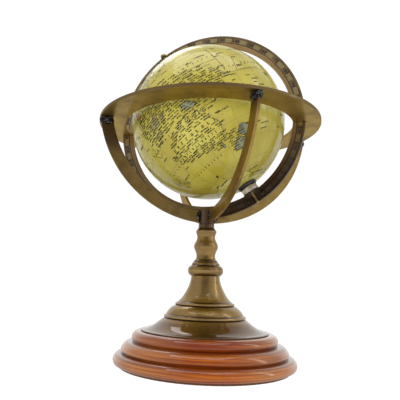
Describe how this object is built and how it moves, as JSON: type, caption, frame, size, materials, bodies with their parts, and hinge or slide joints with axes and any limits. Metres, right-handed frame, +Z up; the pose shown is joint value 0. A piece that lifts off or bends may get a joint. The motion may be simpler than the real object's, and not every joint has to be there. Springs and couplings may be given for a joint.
{
  "type": "desktop globe on stand",
  "caption": "Small desktop globe on a tilted axle inside a brass meridian ring, carried by an open four-arm cradle with a flat horizon ring on a turned stem and stepped wooden base.",
  "frame": {"origin": "centre of the base's underside, on the surface the globe stands on", "axes": "+Z up; the meridian ring lies in the XZ plane; the north pole leans towards -X"},
  "size_m": [0.1788, 0.1788, 0.2709],
  "materials": {
    "antique_brass": "lacquered antique brass, satin with fine brushing, dark in the corners",
    "scale_brass": "antique brass strip with an engraved and blackened degree scale on both faces",
    "bright_brass": "worn bright brass",
    "dark_brass": "heavily darkened brass",
    "nickel": "turned, nickel grey, satin",
    "steel": "zinc plated",
    "black_plastic": "smooth black",
    "map_paper": "aged yellow printed map under clear gloss varnish",
    "board": "raw pulp board",
    "wood": "orange-brown hardwood, turned, gloss varnish",
    "felt": "black felt"
  },
  "bodies": {
    "stand": {"base_felt": "felt", "wood_base": "wood", "base_washer": "steel", "base_nut": "steel", "tie_rod": "steel", "bell_foot": "antique_brass", "stem_knop": "antique_brass", "stem_baluster": "antique_brass", "cradle_hub": "antique_brass", "arm_front_left": "antique_brass", "arm_front_right": "antique_brass", "arm_back_right": "antique_brass", "arm_back_left": "antique_brass", "horizon_ring": "antique_brass"},
    "meridian": {"meridian_half_upper": "scale_brass", "meridian_half_lower": "scale_brass", "polar_axle": "bright_brass", "north_splice_strap": "dark_brass", "south_splice_strap": "dark_brass", "north_screw_upper": "dark_brass", "north_screw_lower": "dark_brass", "south_screw_upper": "dark_brass", "south_screw_lower": "dark_brass", "north_spacer": "nickel", "south_spacer": "nickel", "north_dome_nut": "bright_brass"},
    "globe": {"globe_north_shell": "map_paper", "globe_south_shell": "map_paper", "equator_band": "board", "north_pole_cap": "black_plastic", "south_pole_cap": "black_plastic"}
  },
  "joints": [
    {"name": "meridian_tilt", "type": "hinge", "parent": "stand", "child": "meridian", "pos_m": [0, 0, 0.1933], "axis": [0, 1, 0], "range_deg": [-42, 15]},
    {"name": "globe_spin", "type": "hinge", "parent": "meridian", "child": "globe", "pos_m": [0, 0, 0.1933], "axis": [-0.5358, 0, 0.8443], "continuous": true}
  ]
}
